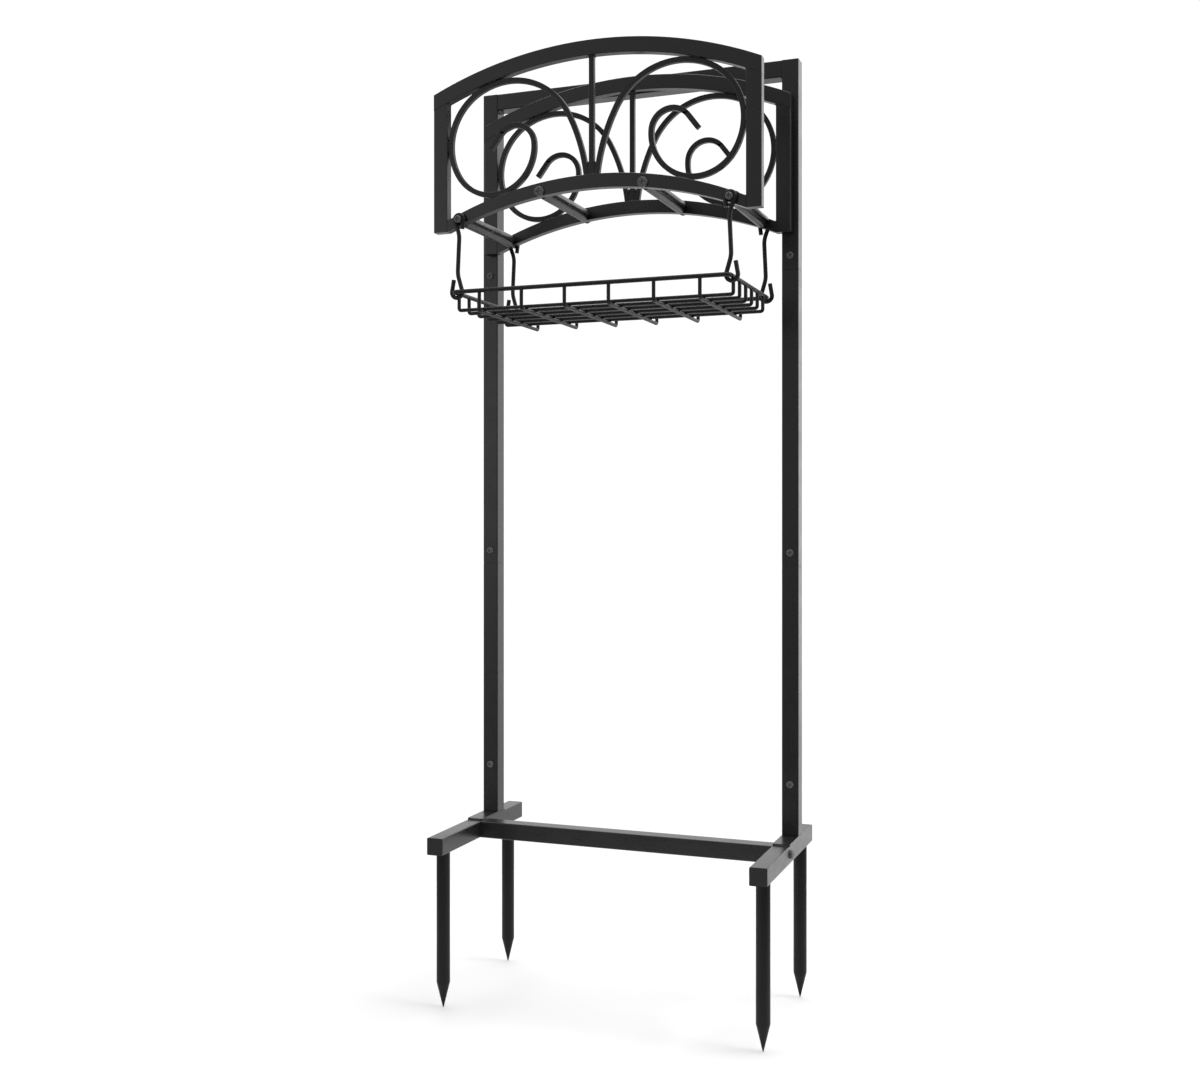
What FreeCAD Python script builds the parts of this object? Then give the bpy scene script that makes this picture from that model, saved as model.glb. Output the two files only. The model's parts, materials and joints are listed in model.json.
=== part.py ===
import FreeCAD, Part
import math
import os

# Freestanding garden hose holder: two tube posts on a staked base, two arched
# panels joined by hose bars, and a wire basket swinging on four hooks.
# Units are millimetres. X is the width, Y runs to the rear, Z is up.
# The origin is under the middle of the holder, level with the stake tips.

# Square tube used for the feet, the posts and the crossbars
TUBE = 20.0
TUBE_WALL = 1.2
TUBE_CORNER = 1.2
FRAME_HALF_WIDTH = 204.0
POST_X = FRAME_HALF_WIDTH - TUBE / 2.0
POST_FRONT_Y = 43.75

# Feet and stakes
FOOT_BOTTOM_Z = 184.0
FOOT_TOP_Z = FOOT_BOTTOM_Z + TUBE
FOOT_FRONT_Y = POST_FRONT_Y - 151.5
FOOT_REAR_Y = POST_FRONT_Y + 76.0
CAP_FLANGE = 1.5
CAP_PLUG_LENGTH = 8.0
PLUG_GAP = 0.1
STAKE_RADIUS = 8.0
STAKE_POINT = 30.0
STAKE_TIP_RADIUS = 0.6
STAKE_FRONT_Y = POST_FRONT_Y - 129.5
STAKE_REAR_Y = POST_FRONT_Y + 53.5
STUD_RADIUS = 4.0
STUD_LENGTH = 11.0
BUSH_RADIUS = 7.0
BUSH_HEIGHT = 12.0

# Base crossbar and the plates under the posts
CROSSBAR_Y = POST_FRONT_Y - 40.0
CROSSBAR_PLUG = 16.0
PLATE_THICKNESS = 2.0
PLATE_FRONT_Y = POST_FRONT_Y - 45.0
PLATE_REAR_Y = POST_FRONT_Y + 23.0

# Posts in three sections, joined over inner sleeves
POST_BOTTOM_Z = FOOT_TOP_Z + PLATE_THICKNESS
MIDDLE_SEAM_Z = 522.0
TOP_SEAM_Z = 871.0
FRAME_TOP_Z = 1117.5
SLEEVE_OUTER = TUBE - 2.0 * TUBE_WALL - 2.0 * PLUG_GAP
SLEEVE_HALF_LENGTH = 36.0
STUB_TOP_Z = 282.0
SCREW_ABOVE_SEAM = 16.0
LOW_SCREW_Z = 266.0
POST_SCREW_RADIUS = 2.5
POST_SCREW_HEAD_RADIUS = 4.2
POST_SCREW_HEAD = 2.2
POST_SCREW_LENGTH = 9.0

# Arched panels
PANEL_THICKNESS = 11.0
PANEL_HALF_WIDTH = 197.0
UPRIGHT_WIDTH = 17.5
PANEL_BOTTOM_Z = 913.0
TOP_ARCH_RADIUS = 490.0
TOP_ARCH_DEPTH = 17.2
TOP_ARCH_CROWN_Z = 1116.2
TOP_ARCH_CENTRE_Z = TOP_ARCH_CROWN_Z - TOP_ARCH_RADIUS
TOP_ARCH_INNER = TOP_ARCH_RADIUS - TOP_ARCH_DEPTH
HOSE_ARCH_RADIUS = 435.0
HOSE_ARCH_DEPTH = 15.8
HOSE_ARCH_CROWN_Z = 965.0
HOSE_ARCH_CENTRE_Z = HOSE_ARCH_CROWN_Z - HOSE_ARCH_RADIUS
FRONT_PANEL_Y = POST_FRONT_Y - 148.0
REAR_PANEL_Y = POST_FRONT_Y - PANEL_THICKNESS
BAR_EDGE = 0.5
LONG_EDGE = 44.0

# Scrollwork: square bar, bent as a run of tangent arcs (radius, turn in degrees)
SCROLL_BAR = 6.0
SCROLL_START_X = 6.05
SCROLL_HEADING = 83.4
SCROLL_LEAD = 2.4
SCROLL_LEG = (211.6, 21.1)
SCROLL_RISE = (82.0, 89.4)
SCROLL_LOOP = (68.0, 94.4)
SCROLL_RETURN = (51.6, 153.8)
SCROLL_CURL = (23.7, 137.3)
SCROLL_TAIL = 20.0

# Hose bars between the panels: a rod under a half-round saddle
INNER_BAR_X = 62.3
INNER_BAR_Z = 950.2
OUTER_BAR_X = 162.5
OUTER_BAR_Z = 925.5
ROD_RADIUS = 6.0
SADDLE_RADIUS = 9.6
SADDLE_BORE_RADIUS = 6.05
SADDLE_EDGE_RISE = 1.2
SADDLE_RIB = 4.0
BAR_SCREW_RADIUS = 2.5
BAR_SCREW_DEPTH = 15.0
BAR_HOLE_DEPTH = 16.0
BAR_HEAD_RADIUS = 5.85
BAR_HEAD = 3.4
HOLE_GAP = 0.1

# Hooks of round wire
HOOK_WIRE = 5.0
HOOK_CLEARANCE = 0.3
SHOULDER_RADIUS = 3.0
EYE_BORE_RADIUS = 3.08
EYE_RADIUS = EYE_BORE_RADIUS + HOOK_WIRE / 2.0
HOOK_HEAD_RADIUS = 4.2
HOOK_HEAD = 3.2
EYE_TAIL_END = (158.4, 914.4)
EYE_EXIT_ANGLE = -20.0
STEM_TOP_Z = 908.0
STEM_KINK = (164.2, 862.0)
STEM_BEND_RADIUS = 30.0
CRADLE_RADIUS = 6.6
CRADLE_RISE = 1.3
CRADLE_EXIT_ANGLE = 10.0
HOOK_TIP_Z = 855.8
FRONT_HOOK_Y = FRONT_PANEL_Y - HOOK_CLEARANCE - HOOK_WIRE / 2.0
REAR_HOOK_Y = POST_FRONT_Y + HOOK_CLEARANCE + HOOK_WIRE / 2.0

# Wire basket
RIM_WIRE = 5.0
RIM_X = 165.0
RIM_Z = 840.0
RIM_FRONT_Y = POST_FRONT_Y - 160.5
RIM_REAR_Y = POST_FRONT_Y + 8.4
RIM_CORNER = 5.0
MESH_WIRE = 4.2
MESH_Z = 820.8
MESH_BEND = 2.8
MESH_GAP = 0.05
LONG_WIRE_COUNT = 6
LONG_WIRE_FIRST_Y = POST_FRONT_Y - 145.5
LONG_WIRE_PITCH = 26.0
CROSS_WIRE_COUNT = 6
CROSS_WIRE_PITCH = 52.7

# Bolts that hold the rear panel to the posts
PANEL_BOLT_X = 190.5
PANEL_BOLT_Z = (935.0, 1050.0)
PANEL_BOLT_RADIUS = 2.5
PANEL_BOLT_DEPTH = 8.0
PANEL_HEAD_RADIUS = 4.75
PANEL_HEAD = 3.0

# Screws through the feet into the base crossbar
FOOT_SCREW_RADIUS = 3.0
FOOT_SCREW_DEPTH = 14.0
FOOT_HEAD_RADIUS = 5.0
FOOT_HEAD = 3.0

HEAD_ROUNDING = 0.45
RECESS_SHARE = 0.62
RECESS_WIDTH = 1.3
RECESS_DEPTH = 1.5

# How near an edge must be to flat, and to parallel, to count as so
FLATNESS = 0.000001
PARALLEL = 0.99

X_AXIS = FreeCAD.Vector(1, 0, 0)
Y_AXIS = FreeCAD.Vector(0, 1, 0)
Z_AXIS = FreeCAD.Vector(0, 0, 1)


def point(x, y, z):
    return FreeCAD.Vector(x, y, z)


def block(x0, x1, y0, y1, z0, z1):
    return Part.makeBox(x1 - x0, y1 - y0, z1 - z0, point(x0, y0, z0))


def rod(radius, length, start, direction):
    return Part.makeCylinder(radius, length, start, direction)


def rounded_block(x0, x1, y0, y1, z0, z1, axis, radius):
    body = block(x0, x1, y0, y1, z0, z1)
    along = []
    for edge in body.Edges:
        ends = [v.Point for v in edge.Vertexes]
        run = ends[1] - ends[0]
        if abs(run.normalize().dot(axis)) > PARALLEL:
            along.append(edge)
    return body.makeFillet(radius, along)


def square_tube(x0, x1, y0, y1, z0, z1, axis):
    outer = rounded_block(x0, x1, y0, y1, z0, z1, axis, TUBE_CORNER)
    wx = TUBE_WALL * (1.0 - abs(axis.x))
    wy = TUBE_WALL * (1.0 - abs(axis.y))
    wz = TUBE_WALL * (1.0 - abs(axis.z))
    inner = block(x0 + wx, x1 - wx, y0 + wy, y1 - wy, z0 + wz, z1 - wz)
    return outer.cut(inner)


def mirrored(shape):
    return shape.mirror(point(0, 0, 0), X_AXIS)


def group(shapes):
    return Part.makeCompound(shapes)


def screw(head_radius, head, shank_radius, shank, seat, direction, shoulder=0.0, shoulder_radius=0.0):
    """Pan-head screw. The seat is the centre of the head's underside; direction points to the tip."""
    away = direction.negative()
    cap = rod(head_radius, head, point(0, 0, 0), Z_AXIS)
    rim = [e for e in cap.Edges if abs(e.BoundBox.ZMin - head) < FLATNESS and e.Closed]
    cap = cap.makeFillet(head * HEAD_ROUNDING, rim[:1])
    reach = head_radius * RECESS_SHARE
    half = RECESS_WIDTH / 2.0
    floor = head - RECESS_DEPTH
    slot_a = block(-reach, reach, -half, half, floor, head)
    slot_b = block(-half, half, -reach, reach, floor, head)
    cap = cap.cut(slot_a.fuse(slot_b))
    turn = FreeCAD.Rotation(Z_AXIS, away)
    cap.Placement = FreeCAD.Placement(seat, turn)
    body = cap
    start = seat
    if shoulder > 0.0:
        body = body.fuse(rod(shoulder_radius, shoulder, seat, direction))
        start = seat + direction * shoulder
    body = body.fuse(rod(shank_radius, shank, start, direction))
    return body.removeSplitter()


def foot(side):
    x0 = side * POST_X - TUBE / 2.0
    x1 = side * POST_X + TUBE / 2.0
    y0 = FOOT_FRONT_Y + CAP_FLANGE
    y1 = FOOT_REAR_Y - CAP_FLANGE
    body = square_tube(x0, x1, y0, y1, FOOT_BOTTOM_Z, FOOT_TOP_Z, Y_AXIS)
    for y in (STAKE_FRONT_Y, STAKE_REAR_Y):
        seat = point(side * POST_X, y, FOOT_BOTTOM_Z)
        bush_base = seat + Z_AXIS * (TUBE_WALL / 2.0)
        body = body.fuse(rod(BUSH_RADIUS, BUSH_HEIGHT - TUBE_WALL / 2.0, bush_base, Z_AXIS))
        body = body.cut(rod(STUD_RADIUS, BUSH_HEIGHT, seat, Z_AXIS))
    hole = rod(FOOT_SCREW_RADIUS + HOLE_GAP, TUBE, point(x0, CROSSBAR_Y, FOOT_TOP_Z - TUBE / 2.0), X_AXIS)
    return body.cut(hole).removeSplitter()


def foot_cap(side, y_face, inward):
    x0 = side * POST_X - TUBE / 2.0
    x1 = side * POST_X + TUBE / 2.0
    flange_y = sorted((y_face, y_face + inward * CAP_FLANGE))
    plug_y = sorted((y_face, y_face + inward * (CAP_FLANGE + CAP_PLUG_LENGTH)))
    flange = rounded_block(x0, x1, flange_y[0], flange_y[1], FOOT_BOTTOM_Z, FOOT_TOP_Z, Y_AXIS, TUBE_CORNER)
    inset = TUBE_WALL + PLUG_GAP
    plug = block(x0 + inset, x1 - inset, plug_y[0], plug_y[1], FOOT_BOTTOM_Z + inset, FOOT_TOP_Z - inset)
    return flange.fuse(plug).removeSplitter()


def stake(x, y):
    tip = Part.makeCone(STAKE_TIP_RADIUS, STAKE_RADIUS, STAKE_POINT, point(x, y, 0), Z_AXIS)
    shank = rod(STAKE_RADIUS, FOOT_BOTTOM_Z - STAKE_POINT, point(x, y, STAKE_POINT), Z_AXIS)
    stud = rod(STUD_RADIUS, STUD_LENGTH, point(x, y, FOOT_BOTTOM_Z), Z_AXIS)
    return tip.fuse(shank).fuse(stud).removeSplitter()


def base_crossbar():
    reach = POST_X - TUBE / 2.0
    y0 = CROSSBAR_Y - TUBE / 2.0
    y1 = CROSSBAR_Y + TUBE / 2.0
    body = square_tube(-reach, reach, y0, y1, FOOT_BOTTOM_Z, FOOT_TOP_Z, X_AXIS)
    half_wall = TUBE_WALL / 2.0
    for side in (-1, 1):
        ends = sorted((side * reach, side * (reach - CROSSBAR_PLUG)))
        low = FOOT_BOTTOM_Z + half_wall
        high = FOOT_TOP_Z - half_wall
        plug = block(ends[0], ends[1], y0 + half_wall, y1 - half_wall, low, high)
        body = body.fuse(plug)
        start = point(side * reach, CROSSBAR_Y, FOOT_TOP_Z - TUBE / 2.0)
        body = body.cut(rod(FOOT_SCREW_RADIUS, FOOT_SCREW_DEPTH, start, X_AXIS * (-side)))
    return body.removeSplitter()


def base_plate(side):
    x0 = side * POST_X - TUBE / 2.0
    x1 = side * POST_X + TUBE / 2.0
    return rounded_block(x0, x1, PLATE_FRONT_Y, PLATE_REAR_Y, FOOT_TOP_Z, POST_BOTTOM_Z, Z_AXIS, TUBE_CORNER)


def post_section(side, z0, z1, screw_zs):
    x0 = side * POST_X - TUBE / 2.0
    x1 = side * POST_X + TUBE / 2.0
    body = square_tube(x0, x1, POST_FRONT_Y, POST_FRONT_Y + TUBE, z0, z1, Z_AXIS)
    for z in screw_zs:
        start = point(side * POST_X, POST_FRONT_Y, z)
        body = body.cut(rod(POST_SCREW_RADIUS + HOLE_GAP, 2.0 * TUBE_WALL, start, Y_AXIS))
    return body


def sleeve(side, z0, z1, screw_z):
    half = SLEEVE_OUTER / 2.0
    middle_y = POST_FRONT_Y + TUBE / 2.0
    x = side * POST_X
    body = square_tube(x - half, x + half, middle_y - half, middle_y + half, z0, z1, Z_AXIS)
    start = point(x, POST_FRONT_Y, screw_z)
    return body.cut(rod(POST_SCREW_RADIUS, TUBE / 2.0, start, Y_AXIS))


def frame_leg(side):
    body = post_section(side, TOP_SEAM_Z, FRAME_TOP_Z, [TOP_SEAM_Z + SCREW_ABOVE_SEAM])
    x0 = side * POST_X - TUBE / 2.0 + TUBE_WALL / 2.0
    x1 = side * POST_X + TUBE / 2.0 - TUBE_WALL / 2.0
    y0 = POST_FRONT_Y + TUBE_WALL / 2.0
    y1 = POST_FRONT_Y + TUBE - TUBE_WALL / 2.0
    body = body.fuse(block(x0, x1, y0, y1, FRAME_TOP_Z - TUBE_WALL, FRAME_TOP_Z))
    for z in PANEL_BOLT_Z:
        start = point(side * PANEL_BOLT_X, POST_FRONT_Y, z)
        body = body.cut(rod(PANEL_BOLT_RADIUS + HOLE_GAP, TUBE, start, Y_AXIS))
    return body.removeSplitter()


def frame_crossbar():
    reach = POST_X - TUBE / 2.0
    rear_y = POST_FRONT_Y + TUBE
    return square_tube(-reach, reach, POST_FRONT_Y, rear_y, FRAME_TOP_Z - TUBE, FRAME_TOP_Z, X_AXIS)


def disc(radius, centre_z, y0, y1):
    return rod(radius, y1 - y0, point(0, y0, centre_z), Y_AXIS)


def edge_bevelled(shape):
    """Bevels the long front and rear edges of a panel bar."""
    chosen = []
    for edge in shape.Edges:
        box = edge.BoundBox
        flat = abs(box.YMin - box.YMax) < FLATNESS
        if flat and edge.Length > LONG_EDGE:
            chosen.append(edge)
    return shape.makeChamfer(BAR_EDGE, chosen)


def arched_bar(y0, radius, crown_z, depth, reach, end_z):
    """Bar along an arc, cut upright at x = reach on both sides. Its lower edge ends at end_z."""
    outer_z = crown_z - radius + math.sqrt(radius ** 2 - reach ** 2)
    over = Part.Arc(point(-reach, y0, outer_z), point(0, y0, crown_z), point(reach, y0, outer_z))
    under = Part.Arc(point(-reach, y0, end_z), point(0, y0, crown_z - depth), point(reach, y0, end_z))
    edges = [over.toShape(), under.toShape()]
    for side in (-1, 1):
        edges.append(Part.makeLine(point(side * reach, y0, outer_z), point(side * reach, y0, end_z)))
    outline = Part.Wire(Part.__sortEdges__(edges))
    return edge_bevelled(Part.Face(outline).extrude(Y_AXIS * PANEL_THICKNESS))


def top_arch(y0):
    end_z = TOP_ARCH_CENTRE_Z + math.sqrt(TOP_ARCH_INNER ** 2 - PANEL_HALF_WIDTH ** 2)
    return arched_bar(y0, TOP_ARCH_RADIUS, TOP_ARCH_CROWN_Z, TOP_ARCH_DEPTH, PANEL_HALF_WIDTH, end_z)


def hose_arch(y0):
    """Its lower edge runs into the inner lower corners of the uprights."""
    reach = PANEL_HALF_WIDTH - UPRIGHT_WIDTH
    body = arched_bar(y0, HOSE_ARCH_RADIUS, HOSE_ARCH_CROWN_Z, HOSE_ARCH_DEPTH, reach, PANEL_BOTTOM_Z)
    for side in (-1, 1):
        for x, z in ((INNER_BAR_X, INNER_BAR_Z), (OUTER_BAR_X, OUTER_BAR_Z)):
            start = point(side * x, y0, z)
            body = body.cut(rod(BAR_SCREW_RADIUS + HOLE_GAP, PANEL_THICKNESS, start, Y_AXIS))
    return body


def upright(side, y0, bolted):
    y1 = y0 + PANEL_THICKNESS
    outer = side * PANEL_HALF_WIDTH
    inner = side * (PANEL_HALF_WIDTH - UPRIGHT_WIDTH)
    xs = sorted((outer, inner))
    body = block(xs[0], xs[1], y0, y1, PANEL_BOTTOM_Z, TOP_ARCH_CROWN_Z)
    body = body.common(disc(TOP_ARCH_INNER, TOP_ARCH_CENTRE_Z, y0, y1))
    body = edge_bevelled(body)
    if bolted:
        for z in PANEL_BOLT_Z:
            start = point(side * PANEL_BOLT_X, y1, z)
            body = body.cut(rod(PANEL_BOLT_RADIUS, PANEL_BOLT_DEPTH, start, Y_AXIS.negative()))
    return body


def centre_bar(y0):
    middle = y0 + PANEL_THICKNESS / 2.0
    half = SCROLL_BAR / 2.0
    body = block(-half, half, middle - half, middle + half, HOSE_ARCH_CROWN_Z - half, TOP_ARCH_CROWN_Z)
    body = body.common(disc(TOP_ARCH_INNER, TOP_ARCH_CENTRE_Z, y0, y0 + PANEL_THICKNESS))
    return body.cut(disc(HOSE_ARCH_RADIUS, HOSE_ARCH_CENTRE_Z, y0, y0 + PANEL_THICKNESS))


def heading_vector(degrees):
    angle = math.radians(degrees)
    return FreeCAD.Vector(math.cos(angle), 0, math.sin(angle))


def scroll(y0):
    """Right-hand scroll: a straight foot, tangent clockwise arcs and a straight tail."""
    half = SCROLL_BAR / 2.0
    middle = y0 + PANEL_THICKNESS / 2.0
    start_z = HOSE_ARCH_CENTRE_Z + math.sqrt(HOSE_ARCH_RADIUS ** 2 - SCROLL_START_X ** 2) - half
    here = point(SCROLL_START_X, middle - half, start_z)
    heading = SCROLL_HEADING
    outer_edges = []
    inner_edges = []
    first_normal = heading_vector(heading + 90.0)
    first = (here + first_normal * half, here - first_normal * half)
    here = here + heading_vector(heading) * SCROLL_LEAD
    outer_edges.append(Part.makeLine(first[0], here + first_normal * half))
    inner_edges.append(Part.makeLine(first[1], here - first_normal * half))
    for radius, turn in (SCROLL_LEG, SCROLL_RISE, SCROLL_LOOP, SCROLL_RETURN, SCROLL_CURL):
        centre = here + heading_vector(heading - 90.0) * radius
        for reach, edges in ((radius + half, outer_edges), (radius - half, inner_edges)):
            a = centre + heading_vector(heading + 90.0) * reach
            b = centre + heading_vector(heading + 90.0 - turn / 2.0) * reach
            c = centre + heading_vector(heading + 90.0 - turn) * reach
            edges.append(Part.Arc(a, b, c).toShape())
        here = centre + heading_vector(heading + 90.0 - turn) * radius
        heading = heading - turn
    normal = heading_vector(heading + 90.0)
    tail_end = here + heading_vector(heading) * SCROLL_TAIL
    last = (tail_end + normal * half, tail_end - normal * half)
    outer_edges.append(Part.makeLine(here + normal * half, last[0]))
    inner_edges.append(Part.makeLine(here - normal * half, last[1]))
    ends = [Part.makeLine(first[0], first[1]), Part.makeLine(last[0], last[1])]
    outline = Part.Wire(Part.__sortEdges__(outer_edges + inner_edges + ends))
    body = Part.Face(outline).extrude(Y_AXIS * SCROLL_BAR)
    return body.cut(disc(HOSE_ARCH_RADIUS, HOSE_ARCH_CENTRE_Z, y0, y0 + PANEL_THICKNESS))


def bar_ends(y0, y1, x, z):
    front = rod(BAR_SCREW_RADIUS, BAR_HOLE_DEPTH, point(x, y0, z), Y_AXIS)
    rear = rod(BAR_SCREW_RADIUS, BAR_HOLE_DEPTH, point(x, y1, z), Y_AXIS.negative())
    return front.fuse(rear)


def hose_rod(x, z):
    y0 = FRONT_PANEL_Y + PANEL_THICKNESS
    body = rod(ROD_RADIUS, REAR_PANEL_Y - y0, point(x, y0, z), Y_AXIS)
    return body.cut(bar_ends(y0, REAR_PANEL_Y, x, z))


def hose_saddle(x, z):
    """Half-round over the rod, resting on it along a rib."""
    y0 = FRONT_PANEL_Y + PANEL_THICKNESS
    length = REAR_PANEL_Y - y0
    base = point(x, y0, z)
    shell = rod(SADDLE_RADIUS, length, base, Y_AXIS).cut(rod(SADDLE_BORE_RADIUS, length, base, Y_AXIS))
    left = x - SADDLE_RADIUS
    right = x + SADDLE_RADIUS
    upper = block(left, right, y0, REAR_PANEL_Y, z + SADDLE_EDGE_RISE, z + SADDLE_RADIUS)
    shell = shell.common(upper)
    rib_top = z + (SADDLE_RADIUS + SADDLE_BORE_RADIUS) / 2.0
    rib = block(x - SADDLE_RIB / 2.0, x + SADDLE_RIB / 2.0, y0, REAR_PANEL_Y, z, rib_top)
    rib = rib.cut(rod(ROD_RADIUS, length, base, Y_AXIS))
    return shell.fuse(rib).removeSplitter()


def tangent_point(outside, centre, radius, turn):
    """Where a line from an outside point touches a circle in the XZ plane."""
    gap = centre - outside
    distance = gap.Length
    reach = math.sqrt(distance ** 2 - radius ** 2)
    towards = math.degrees(math.atan2(gap.z, gap.x))
    swing = math.degrees(math.asin(radius / distance))
    return outside + heading_vector(towards + turn * swing) * reach


def polar(centre, radius, degrees):
    return centre + heading_vector(degrees) * radius


def angle_of(centre, spot):
    return math.degrees(math.atan2(spot.z - centre.z, spot.x - centre.x))


def bend(before, corner, after, radius):
    """Start, middle and end of the arc that rounds a corner between two straight runs."""
    u = (before - corner).normalize()
    v = (after - corner).normalize()
    half = math.acos(max(-1.0, min(1.0, u.dot(v)))) / 2.0
    trim = radius / math.tan(half)
    centre = corner + (u + v).normalize() * (radius / math.sin(half))
    middle = centre + (corner - centre).normalize() * radius
    return corner + u * trim, middle, corner + v * trim


def wire_sweep(edges, diameter, start, heading):
    profile = Part.Wire([Part.makeCircle(diameter / 2.0, start, heading)])
    return Part.Wire(edges).makePipeShell([profile], True, False)


def hook(y):
    """Right-hand hook: tail, eye, stem, kink, cradle for the rim, and tip."""
    eye = point(OUTER_BAR_X, y, OUTER_BAR_Z)
    cradle = point(RIM_X, y, RIM_Z + CRADLE_RISE)
    tail_end = point(EYE_TAIL_END[0], y, EYE_TAIL_END[1])
    on_eye = tangent_point(tail_end, eye, EYE_RADIUS, 1)
    entry = angle_of(eye, on_eye)
    if entry < 0.0:
        entry = entry + 360.0
    off_eye = polar(eye, EYE_RADIUS, EYE_EXIT_ANGLE)
    over_top = polar(eye, EYE_RADIUS, (entry + EYE_EXIT_ANGLE) / 2.0)
    run_out = heading_vector(EYE_EXIT_ANGLE - 90.0)
    stem_top = off_eye + run_out * ((off_eye.z - STEM_TOP_Z) / -run_out.z)
    kink = point(STEM_KINK[0], y, STEM_KINK[1])
    on_cradle = tangent_point(kink, cradle, CRADLE_RADIUS, -1)
    off_cradle = polar(cradle, CRADLE_RADIUS, CRADLE_EXIT_ANGLE)
    side_angle = angle_of(cradle, on_cradle) % 360.0
    under = polar(cradle, CRADLE_RADIUS, (side_angle + 360.0 + CRADLE_EXIT_ANGLE) / 2.0)
    rise = heading_vector(CRADLE_EXIT_ANGLE + 90.0)
    tip = off_cradle + rise * ((HOOK_TIP_Z - off_cradle.z) / rise.z)
    first = bend(off_eye, stem_top, kink, STEM_BEND_RADIUS)
    second = bend(stem_top, kink, on_cradle, STEM_BEND_RADIUS)
    edges = [Part.makeLine(tail_end, on_eye)]
    edges.append(Part.Arc(on_eye, over_top, off_eye).toShape())
    edges.append(Part.makeLine(off_eye, first[0]))
    edges.append(Part.Arc(first[0], first[1], first[2]).toShape())
    edges.append(Part.makeLine(first[2], second[0]))
    edges.append(Part.Arc(second[0], second[1], second[2]).toShape())
    edges.append(Part.makeLine(second[2], on_cradle))
    edges.append(Part.Arc(on_cradle, under, off_cradle).toShape())
    edges.append(Part.makeLine(off_cradle, tip))
    return wire_sweep(edges, HOOK_WIRE, tail_end, on_eye - tail_end)


def basket_rim():
    corners = [
        point(-RIM_X, RIM_FRONT_Y, RIM_Z),
        point(RIM_X, RIM_FRONT_Y, RIM_Z),
        point(RIM_X, RIM_REAR_Y, RIM_Z),
        point(-RIM_X, RIM_REAR_Y, RIM_Z),
    ]
    bends = []
    for i in range(len(corners)):
        bends.append(bend(corners[i - 1], corners[i], corners[(i + 1) % len(corners)], RIM_CORNER))
    radius = RIM_WIRE / 2.0
    body = None
    for i in range(len(corners)):
        start, middle, end = bends[i]
        following = bends[(i + 1) % len(corners)][0]
        run = following - end
        straight = rod(radius, run.Length, end, run)
        elbow = wire_sweep([Part.Arc(start, middle, end).toShape()], RIM_WIRE, start, corners[i] - start)
        piece = straight.fuse(elbow)
        body = piece if body is None else body.fuse(piece)
    return body.removeSplitter()


def mesh_wire(left_top, left_low, right_low, right_top):
    first = bend(left_top, left_low, right_low, MESH_BEND)
    second = bend(left_low, right_low, right_top, MESH_BEND)
    edges = [Part.makeLine(left_top, first[0])]
    edges.append(Part.Arc(first[0], first[1], first[2]).toShape())
    edges.append(Part.makeLine(first[2], second[0]))
    edges.append(Part.Arc(second[0], second[1], second[2]).toShape())
    edges.append(Part.makeLine(second[2], right_top))
    return wire_sweep(edges, MESH_WIRE, left_top, left_low - left_top)


def long_wires(rim):
    wires = []
    for i in range(LONG_WIRE_COUNT):
        y = LONG_WIRE_FIRST_Y + i * LONG_WIRE_PITCH
        tops = [point(side * RIM_X, y, RIM_Z) for side in (-1, 1)]
        lows = [point(side * RIM_X, y, MESH_Z) for side in (-1, 1)]
        wires.append(mesh_wire(tops[0], lows[0], lows[1], tops[1]).cut(rim))
    return group(wires)


def cross_wires(rim):
    wires = []
    z = MESH_Z - MESH_WIRE - MESH_GAP
    for i in range(CROSS_WIRE_COUNT):
        x = (i - (CROSS_WIRE_COUNT - 1) / 2.0) * CROSS_WIRE_PITCH
        tops = [point(x, y, RIM_Z) for y in (RIM_FRONT_Y, RIM_REAR_Y)]
        lows = [point(x, y, z) for y in (RIM_FRONT_Y, RIM_REAR_Y)]
        wires.append(mesh_wire(tops[0], lows[0], lows[1], tops[1]).cut(rim))
    return group(wires)


def post_screws():
    items = []
    for side in (-1, 1):
        for z in (LOW_SCREW_Z, MIDDLE_SEAM_Z + SCREW_ABOVE_SEAM, TOP_SEAM_Z + SCREW_ABOVE_SEAM):
            seat = point(side * POST_X, POST_FRONT_Y, z)
            items.append(screw(POST_SCREW_HEAD_RADIUS, POST_SCREW_HEAD, POST_SCREW_RADIUS,
                               POST_SCREW_LENGTH, seat, Y_AXIS))
    return group(items)


def foot_screws():
    items = []
    for side in (-1, 1):
        seat = point(side * FRAME_HALF_WIDTH, CROSSBAR_Y, FOOT_TOP_Z - TUBE / 2.0)
        items.append(screw(FOOT_HEAD_RADIUS, FOOT_HEAD, FOOT_SCREW_RADIUS,
                           TUBE + FOOT_SCREW_DEPTH, seat, X_AXIS * (-side)))
    return group(items)


def bar_screws():
    items = []
    for side in (-1, 1):
        front = point(side * INNER_BAR_X, FRONT_PANEL_Y, INNER_BAR_Z)
        rear = point(side * INNER_BAR_X, POST_FRONT_Y, INNER_BAR_Z)
        length = PANEL_THICKNESS + BAR_SCREW_DEPTH
        items.append(screw(BAR_HEAD_RADIUS, BAR_HEAD, BAR_SCREW_RADIUS, length, front, Y_AXIS))
        items.append(screw(BAR_HEAD_RADIUS, BAR_HEAD, BAR_SCREW_RADIUS, length, rear, Y_AXIS.negative()))
    return group(items)


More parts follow.
